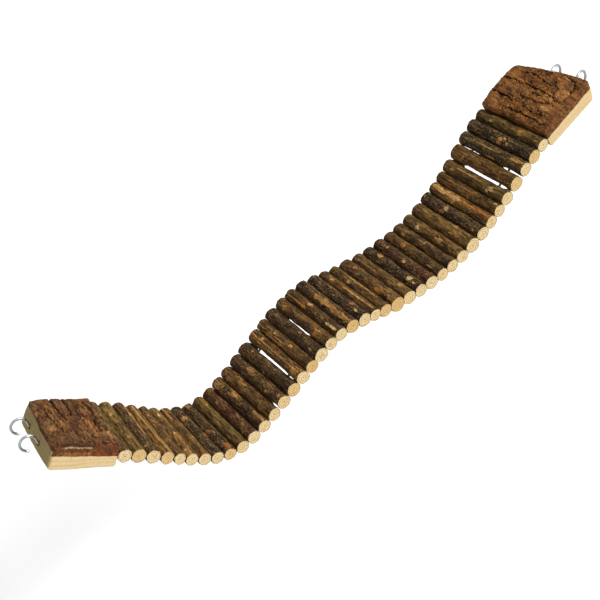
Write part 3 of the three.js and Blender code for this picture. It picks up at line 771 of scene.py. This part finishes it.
def board_piece(name, looks, material):
    """The bark and the sawn wood of one board."""
    board = BOARDS[name]
    place, turn = board_frame(board)
    world, normals, faces = fine_copy(name, BOARD_VOXEL)
    p = (world - place) @ turn
    normals = normals @ turn
    x, y, z = p.T
    length = board["length"]
    seed = looks["seed"]
    inner, outer = x, length - y * math.tan(board["end_turn"]) - x
    edge_x = np.minimum(inner, outer)
    edge_y = HALF_LENGTH - np.abs(y)

    # Where wood gives way to bark: low on the long sides, near the top on the ends
    wave = layers(p * [0.12, 0.12, 0.05], 3, seed)
    ragged = layers(p * [0.5, 0.5, 0.3], 2, seed + 1)
    on_side = step(2.6, 1.0, edge_y)
    on_end = step(2.2, 0.8, edge_x)
    line_side = looks["side_line"] + 1.8 * x / length + 0.45 * wave + 0.3 * ragged
    line_end = crown(x, length) - 1.7 + 0.6 * wave + 0.3 * ragged
    line_end = np.where(inner < outer, looks["inner_line"] + 0.5 * wave, line_end)
    line = np.where(on_end > on_side, line_end, line_side)
    inside = (edge_x > 2.4) & (edge_y > 2.8)
    line = np.where(inside, np.where(z > 3, -9.0, 99.0), line)
    wood = step(0.5, -0.5, z - line)

    # The bark: cracked plates of two sizes, each at its own height and tone, over broad swells
    flat = np.stack([x, y], 1)


    def sway_of(scale, shift, count, extra):
        ways = (layers(p * scale + s, count, seed + extra + k) for k, s in ((0, 0), (1, shift)))
        return np.stack([*ways], 1)

    warp, fray = sway_of(0.10, 5, 3, 3), sway_of(0.45, 5, 2, 13)
    crack, tall, tone = plates((flat + 5.0 * warp + 1.1 * fray) / looks["plate"], seed)
    small, low, tone_low = plates((flat + 3.0 * warp + 1.0 * fray) / looks["scale"] + 3.3, seed + 1)
    broken = step(-0.35, 0.25, layers(p * 0.09 + 2, 2, seed + 15))
    swell = layers(p * [0.055, 0.035, 0.05], 3, seed + 5)
    rough = layers(p * [0.5, 0.3, 0.4], 3, seed + 7)
    relief = 0.75 * swell + looks["tall"] * (tall - 0.5) * step(0.0, 0.10, crack)
    relief += 0.38 * (low - 0.5) * step(0.0, 0.12, small) + 0.30 * rough
    relief -= looks["deep"] * bell(crack, 0.07) * (0.15 + 0.85 * broken)
    relief -= 0.5 * bell(small, 0.10) * (0.3 + 0.7 * broken)
    pick = 0.55 * tone + 0.25 * tone_low + 0.35 * (0.5 + 0.8 * swell) + 0.12 * ragged
    tint = blend_of(looks["tones"], pick)
    red = step(9, 2, edge_y + 2 * wave) * (np.sign(y) == looks["front"])
    tint = toward(tint, looks["red"], 0.7 * red)
    torn = flat + looks["torn"] * sway_of(0.17, 9, 2, 21) + 0.8 * fray
    for mark in looks["marks"]:
        shape, size, route, *colour = mark
        near = distance_to(torn, np.array(route) * [length, STICK_LENGTH]) + 0.3 * ragged
        if shape == "crack":
            relief -= 1.9 * bell(near, size) - 0.5 * bell(near - 2.2 * size, size)
        elif shape == "flake":
            relief += 1.1 * step(size, size - 0.8, near) - 1.0 * bell(near - size - 0.45, 0.45)
            rim = bell(near - size + 0.75, 0.55) * step(-0.5, 0.3, ragged)
            tint = toward(tint, PALE_FLAKE, 0.75 * rim)
        elif shape == "knot":
            far = np.abs(near) / size
            relief += size * (0.35 * bell(far, 1.9) - 0.3 * bell(far, 0.6))
        if colour:
            share = (0.85 if shape == "knot" else 0.6) * step(size, size - 1.2, near)
            tint = toward(tint, colour[0], share)
    band = on_side * (1 - wood)
    for start, end, low_z, high_z, colour in looks["bands"]:
        there = step(start - 0.02, start + 0.02, x / length) * step(end + 0.02, end - 0.02, x / length)
        height = z + 0.5 * wave
        there = there * step(low_z - 0.3, low_z + 0.3, height) * step(high_z + 0.3, high_z - 0.3, height)
        there = there * step(5.0, 3.5, edge_y) * (np.sign(y) == looks["front"])
        tint = toward(tint, colour, there)
        relief += 0.5 * there

    depth = np.where(normals[:, 2] > 0.35, 1.0, 0.55) * (1 - wood) * (1 - 0.45 * step(7, 2, edge_y))
    saw = (0.06 * noise(p * [0.2, 0.2, 1.6], seed + 8) + 0.05 * noise(p * [0.9, 0.2, 0.3], seed + 9)) * wood
    hollow = board_holes(p, board)
    offset = (relief + 0.15) * depth * hollow + saw - 0.08
    shaped = p + normals * offset[:, None] + looks["bend"](x, y, z, length, hollow)
    world = keep_apart(shaped @ turn.T + place, board["piece"])
    made = new_piece(f"bark_{name}", world, faces, material, board["body"], name)
    give(made, "tint", linear(tint * (1 + 0.1 * wave[:, None])), "FLOAT_COLOR")
    give(made, "wood", wood)
    # The relief, from which the material paints shade into the cracks and highlights onto the raised plates
    give(made, "relief", (relief - 0.5 * swell) * (1 - 0.5 * band) * (1 - wood))
    # Where the drilled holes are, for the painted shade in them
    give(made, "hole_shade", 1 - hollow)
    give(made, "side", looks["shade"] * on_end * (outer < inner))
    give(made, "grain", p + [0, 1000.0 + 300 * board["way"], 0], "FLOAT_VECTOR")


def blend_of(colours, share):
    """A colour for each share of 0 to 1 along a row of colours."""
    at = np.clip(share, 0, 0.999) * (len(colours) - 1)
    i = at.astype(int)
    colours = np.array(colours)
    return toward(colours[i], colours[i + 1], step(0.15, 0.85, at - i))


def board_holes(p, board):
    """1 away from the drilled holes and 0 in them."""
    x, y, z = p.T
    end = np.stack([x - board["length"], y], 1) @ turned(math.degrees(board["end_turn"]))[:2, :2]
    clear = np.ones(len(p))
    for side in (-1, 1):
        off = np.hypot(end[:, 1] - board["hook_shift"] - side * HOOK_SPACING / 2, z + HOOK_BELOW)
        clear = np.minimum(clear, np.where(end[:, 0] > -HOOK_DEPTH - 2, step(1.5, 2.2, off), 1))
        off = np.hypot(y - side * WIRE_SIDE, z)
        clear = np.minimum(clear, np.where(x < WIRE_DEPTH + 2, step(1.4, 2.1, off), 1))
    return clear


def distance_to(points, route):
    """How far each point is from a route of straight lines, or from a single place."""
    best = np.full(len(points), 1e9)
    if len(route) == 1:
        return np.linalg.norm(points - route[0], axis=1)
    for a, b in zip(route[:-1], route[1:]):
        t = np.clip(((points - a) @ (b - a)) / ((b - a) @ (b - a)), 0, 1)
        best = np.minimum(best, np.linalg.norm(points - a - t[:, None] * (b - a), axis=1))
    return best


def crown(x, length):
    """The height of the solid's top over the wires: 7.5 mm at its ends, 3 more in the middle."""
    shoulder = np.clip(np.minimum(x, length - x) / 6, 0, 1)
    arch = np.sin(np.pi * np.clip(x / length, 0, 1))
    return 7.5 + 3 * (0.6 * np.sqrt(1 - (1 - shoulder) ** 2) + 0.4 * arch)


def bend_lower(x, y, z, length, hollow):
    """The sawn end leans out at its foot, the outer back corner is round, and the bark overhangs the first
    stick along the whole inner edge, most at the back."""
    foot = step(length - 16, length, x) * np.clip((8 - z) / 15, 0, 1)
    over = step(9, 3, x) * (1 - 0.35 * step(-12, 0, y)) * step(5.4, 7.2, z)
    round_off = step(length - 9, length, x) * step(-27, -35, y)
    back = step(-30, -35, y)
    return np.stack([
        1.8 * foot * (0.5 + 0.5 * hollow) - 2.6 * over - 1.2 * round_off * step(0, 8, z),
        1.4 * round_off - 0.5 * back * np.cos(x * 0.16),
        -0.9 * step(2, -6, z) * step(length * 0.2, length * 0.8, x)
        - 0.8 * back * step(4, 9, z) * np.sin(x * 0.16),
    ], 1)


def bend_upper(x, y, z, length, _):
    """The bark is higher at the outer end, the back side bulges, and the outer corners are rounded."""
    outer = step(length - 12, length - 1, x)
    back = step(22, 35, y)
    corner = step(length - 11, length, x) * step(23, 35, y)
    foot = step(length - 7, length, x) * step(0, -8, z) * step(-24, -35, y)
    return np.stack([
        0.4 * outer * step(0, 8, z) - 1.8 * corner - 1.5 * foot,
        2.2 * back * np.sin(np.pi * np.clip(x / length, 0, 1)) ** 0.7 - 2.4 * corner,
        1.9 * outer * step(2, 8, z) * step(33, 12, y) + 1.0 * back * step(3, 9, z) * step(2, 14, x),
    ], 1)


# The looks of a board. A mark is a crack, flake or knot: its size, its route in shares of the length and the
# width, and perhaps a colour. A band has the shares of the length where it starts and ends, its lower and
# upper height over the wires, and its colour.
PALE_FLAKE = (0.74, 0.58, 0.38)
LOWER_LOOKS = dict(
    seed=901, front=1, side_line=0.2, shade=1.0, bend=bend_lower, red=(0.40, 0.22, 0.115),
    tones=[
        (0.23, 0.15, 0.09), (0.39, 0.27, 0.155), (0.51, 0.36, 0.21), (0.42, 0.265, 0.14), (0.64, 0.48, 0.30),
    ],
    inner_line=1.0, torn=0.9,
    plate=(6.0, 15.0), scale=(2.3, 5.0), tall=0.9, deep=0.9,
    marks=[
        ("crack", 0.75, [(0.61, -0.5), (0.62, -0.2), (0.58, -0.02)]),
        ("crack", 0.65, [(0.42, -0.5), (0.42, -0.28), (0.45, -0.1)]),
        ("crack", 0.9, [(0.14, -0.38), (0.10, -0.15), (0.13, 0.0), (0.08, 0.22)]),
        ("crack", 0.55, [(0.13, 0.0), (0.18, 0.1), (0.15, 0.24)]),
        ("crack", 0.45, [(0.30, -0.46), (0.28, -0.2), (0.24, 0.02)]),
        ("crack", 0.45, [(0.78, -0.3), (0.74, 0.05), (0.76, 0.3)]),
        ("knot", 1.8, [(0.36, -0.36)], (0.66, 0.47, 0.27)),
        ("knot", 1.2, [(0.31, -0.06)], (0.80, 0.68, 0.50)),
        ("flake", 3.2, [(0.75, -0.28), (0.72, 0.08)], (0.55, 0.40, 0.25)),
        ("flake", 2.4, [(0.28, 0.04), (0.30, 0.3)], (0.53, 0.36, 0.21)),
    ],
    bands=[
        (0.38, 0.92, 8.7, 9.9, (0.25, 0.155, 0.095)), (0.42, 0.86, 7.7, 8.5, (0.72, 0.60, 0.46)),
        (0.44, 0.96, 1.5, 4.8, (0.54, 0.36, 0.20)), (0.03, 0.42, 1.0, 3.2, (0.52, 0.26, 0.11)),
    ],
)
UPPER_LOOKS = dict(
    seed=902, front=-1, side_line=1.0, shade=0.5, bend=bend_upper, red=(0.46, 0.29, 0.15),
    tones=[
        (0.42, 0.27, 0.14), (0.54, 0.36, 0.185), (0.62, 0.425, 0.225), (0.56, 0.36, 0.18), (0.74, 0.55, 0.33),
    ],
    inner_line=-3.0, torn=1.5,
    plate=(7.5, 17.0), scale=(3.0, 6.5), tall=0.8, deep=0.8,
    marks=[
        ("crack", 0.5, [(0.55, 0.5), (0.6, 0.4), (0.63, 0.15), (0.61, -0.17), (0.59, -0.34)]),
        ("crack", 0.5, [(0.3, 0.5), (0.29, 0.37), (0.29, 0.18), (0.34, 0.08)]),
        ("crack", 0.5, [(0.1, 0.17), (0.12, 0.02), (0.12, -0.2), (0.1, -0.42)]),
        ("crack", 0.45, [(0.24, 0.0), (0.22, -0.18), (0.24, -0.35)]),
        ("crack", 0.45, [(0.80, 0.35), (0.83, 0.1), (0.78, -0.1)]),
        ("flake", 5.2, [(0.90, -0.24), (0.85, -0.34), (0.66, -0.33)], (0.61, 0.44, 0.26)),
        ("flake", 2.6, [(0.45, 0.1), (0.47, -0.2)], (0.60, 0.42, 0.24)),
    ],
    bands=[],
)


# Hooks and wires

HOOK_AROUND, WIRE_AROUND = 24, 14  # points


def hook_piece(name, board, side, material):
    """One screw hook: its shank in the board, the bend into the eye, and the eye."""
    place, turn = board_frame(board)
    start = place + turn @ [board["length"], 0, 0]
    turn = turn @ turned(math.degrees(board["end_turn"]))
    start = start + turn @ [0, board["hook_shift"] + side * HOOK_SPACING / 2, -HOOK_BELOW]

    def on_eye(angle):
        across, up = EYE_RADIUS * math.cos(angle), EYE_RADIUS * math.sin(angle)
        return np.array([EYE_MIDDLE + across, 0, up - HOOK_DROP])

    a, b, c = np.array([HOOK_NECK, 0, 0]), np.array([HOOK_NECK + 2 * HOOK_BEND, 0, 0]), on_eye(EYE_START)
    route = [[-x, 0, 0] for x in np.linspace(HOOK_DEPTH, 1, 10)] + [[-0.3, 0, 0]]
    route += [a * (1 - t) ** 2 + 2 * b * t * (1 - t) + c * t * t for t in np.linspace(0, 1, 9)]
    route += [on_eye(t) for t in np.linspace(EYE_START, EYE_END, 61)[1:]]
    points, faces = tube(route, HOOK_WIRE / 2, HOOK_AROUND)
    new_piece(f"bright_{name}", points @ turn.T + start, faces, material, board["body"], name)


def wire_pieces(material):
    """Both wires in pieces from the middle of one stick to the middle of the next, bending in the gap."""
    for i, joint in enumerate(JOINTS):
        points, faces, names, ends = [], [], [], []
        for n, way in ((i, -1), (i + 1, 1)):
            place, attitude = PIECES[n]
            on_stick = 0 < n <= STICKS
            names.append(f"rung_{n:02d}" if on_stick else ("lower_end", "upper_end")[n > 0])
            ends.append(place if on_stick else place + attitude[:, 0] * way * WIRE_DEPTH)
        for side in (-WIRE_SIDE, WIRE_SIDE):
            corner = joint + side * (PIECES[i][1][:, 1] + PIECES[i + 1][1][:, 1]) / 2
            start, stop = ends[0] + side * PIECES[i][1][:, 1], ends[1] + side * PIECES[i + 1][1][:, 1]
            route = [start + (corner - start) * t for t in (0, 0.5, 0.85, 0.95)]
            route += [corner] + [stop + (corner - stop) * t for t in (0.95, 0.85, 0.5, 0)]
            made, more = tube(route, WIRE_RADIUS, WIRE_AROUND)
            before = sum(map(len, points))
            faces += [tuple(v + before for v in face) for face in more]
            points.append(made)
        wire = new_piece(
            f"wires_gap_{i + 1:02d}", np.vstack(points), faces, material, None, ("front_wire", "back_wire"),
        )
        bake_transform(wire)


# The object

stick_look = stick_material()
for number in range(1, STICKS + 1):
    stick_piece(number, stick_look)
slab_look = board_material()
board_piece("lower_board", LOWER_LOOKS, slab_look)
board_piece("upper_board", UPPER_LOOKS, slab_look)
zinc = metal_material("bright_zinc", (0.50, 0.51, 0.52), 0.2)
for end, sides in (("lower", ("front", "back")), ("upper", ("back", "front"))):
    for name, side in zip(sides, (1, -1)):
        hook_piece(f"{end}_{name}_hook", BOARDS[f"{end}_board"], side, zinc)
wire_pieces(metal_material("soft_steel", (0.12, 0.12, 0.12), 0.45))


# Camera, floor and light

scene = bpy.context.scene
# Fitted to the cut ends of the sticks in the photograph, which is 600 pixels wide
azimuth, elevation, roll = math.radians(24.62263), math.radians(33.07261), math.radians(-2.05946)
CAMERA = (-0.376368, -1.319872, 0.988177)
FOCAL_PIXELS, PHOTO_WIDTH, SENSOR_WIDTH = 2270.82, 600, 36
flat_share = math.cos(elevation)
look = Vector((math.sin(azimuth) * flat_share, math.cos(azimuth) * flat_share, -math.sin(elevation)))
right = look.cross(Vector((0, 0, 1))).normalized()
up = right.cross(look)
right, up = right * math.cos(roll) + up * math.sin(roll), up * math.cos(roll) - right * math.sin(roll)
camera = placed("camera", bpy.data.cameras.new("camera"))
camera.matrix_world = Matrix([(right[k], up[k], -look[k], CAMERA[k]) for k in range(3)] + [(0, 0, 0, 1)])
camera.data.sensor_width = SENSOR_WIDTH
camera.data.lens = FOCAL_PIXELS / PHOTO_WIDTH * SENSOR_WIDTH
camera.data.clip_start, camera.data.clip_end = 0.05, 30
scene.camera = camera

n = Nodes(bpy.data.materials.new("pale_floor"))
glow = n.math("MULTIPLY", n.add("ShaderNodeLightPath").outputs["Is Camera Ray"], 0.4)
n.done({
    "Base Color": (0.92, 0.92, 0.92, 1), "Roughness": 0.9, "Specular IOR Level": 0.1,
    "Emission Color": (1, 1, 1, 1), "Emission Strength": glow,
})
floor_mesh = bpy.data.meshes.new("floor")
floor_mesh.from_pydata([(-6, -6, 0), (6, -6, 0), (6, 6, 0), (-6, 6, 0)], [], [(0, 1, 2, 3)])
floor_mesh.materials.append(n.owner)
floor = placed("floor", floor_mesh)
floor.location = (0.25, 0, cad_box[0].z - 0.28)  # under the bridge at every pose

# Broad, even studio lights: where each comes from, its strength and its spread in degrees
for name, source, strength, spread in (
    ("key", (0.36, -0.62, 0.74), 0.90, 18), ("back", (0.25, 0.85, 0.45), 0.14, 40),
):
    light = bpy.data.lights.new(name, "SUN")
    light.energy, light.angle = strength * math.pi, math.radians(spread)
    lamp = placed(name, light)
    lamp.location = source
    lamp.rotation_mode = "QUATERNION"
    lamp.rotation_quaternion = Vector(source).to_track_quat("Z", "Y")

# White to the camera, in mirrors and through glass, and a dim light otherwise
scene.world = bpy.data.worlds.new("studio")
n = Nodes(scene.world, "Background")
rays = n.add("ShaderNodeLightPath").outputs
seen = n.math("MAXIMUM", rays["Is Camera Ray"], rays["Is Glossy Ray"])
seen = n.math("MAXIMUM", seen, rays["Is Transmission Ray"])
strength = n.add("ShaderNodeMapRange", {"Value": seen, "To Min": 0.19, "To Max": 1}).outputs[0]
n.done({"Color": (1, 1, 1, 1), "Strength": strength})
scene.view_settings.view_transform = "Standard"

bpy.context.view_layer.update()
